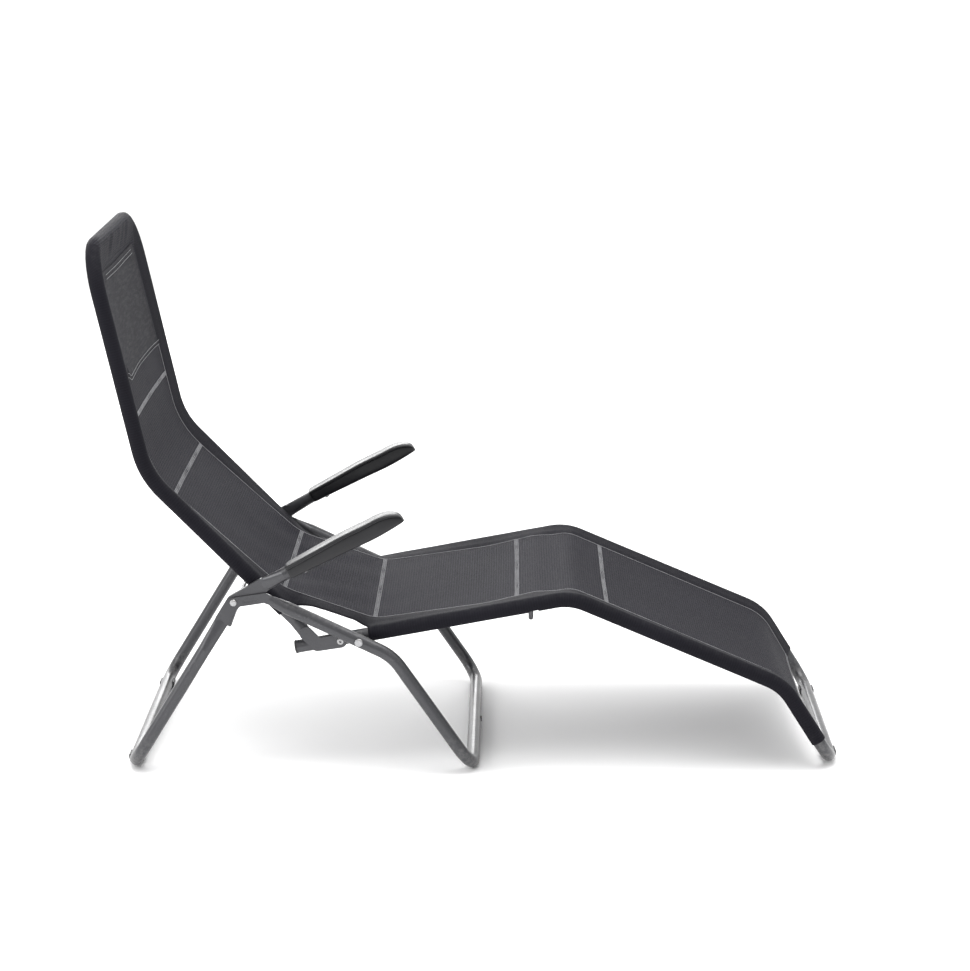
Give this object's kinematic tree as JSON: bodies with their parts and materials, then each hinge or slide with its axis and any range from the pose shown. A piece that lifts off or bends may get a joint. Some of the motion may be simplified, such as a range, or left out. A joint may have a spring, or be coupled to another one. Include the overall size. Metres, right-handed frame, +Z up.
{
  "type": "reclining sun lounger",
  "caption": "Folding tipping sun lounger: bent steel tube frames, a stretched mesh sling with a headrest pad, and plastic armrests.",
  "frame": {"origin": "on the floor, below the middle of the lounger's bounding box", "axes": "+X towards the foot end, +Y towards the sitter's left, +Z up"},
  "size_m": [1.4376, 0.635, 1.024],
  "materials": {
    "frame_steel": "anthracite powder coat, slightly metallic satin",
    "sling_fabric": "ribbed open textilene mesh, charcoal, light grey stitching",
    "pillow_fabric": "dense plain weave, charcoal grey",
    "armrest_plastic": "fine-grained moulded plastic, satin",
    "black_plastic": "moulded plastic",
    "bolt_steel": "zinc plated"
  },
  "bodies": {
    "base": {"front_leg_frame": "frame_steel", "front_bar_plug": "black_plastic", "recline_stop_bow": "frame_steel", "leg_pivot_bolts": "bolt_steel", "leg_pivot_nuts": "bolt_steel", "bed_pivot_bolts": "bolt_steel", "bed_pivot_spacers": "black_plastic", "bed_pivot_nuts": "bolt_steel"},
    "rear_leg": {"rear_leg_frame": "frame_steel", "armrest_right": "armrest_plastic", "armrest_left": "armrest_plastic", "armrest_screws": "bolt_steel", "rear_glides": "black_plastic"},
    "bed": {"leg_frame": "frame_steel", "rail_end_caps": "black_plastic", "knee_crossbar": "frame_steel", "back_pivot_rivets": "bolt_steel", "foot_glides": "black_plastic", "leg_sling": "sling_fabric", "seat_sling": "sling_fabric"},
    "back": {"back_frame": "frame_steel", "back_sling": "sling_fabric", "headrest_pillow": "pillow_fabric"}
  },
  "joints": [
    {"name": "rear_leg_fold", "type": "hinge", "parent": "base", "child": "rear_leg", "pos_m": [-0.447, 0, 0.3435], "axis": [0, -1, 0], "range_deg": [0, 85]},
    {"name": "bed_tilt", "type": "hinge", "parent": "base", "child": "bed", "pos_m": [-0.209, 0, 0.268], "axis": [0, 1, 0], "range_deg": [-19, 51]},
    {"name": "back_fold", "type": "hinge", "parent": "bed", "child": "back", "pos_m": [-0.246, 0, 0.261], "axis": [0, 1, 0], "range_deg": [0, 123], "deforming": ["seat_sling"]}
  ]
}
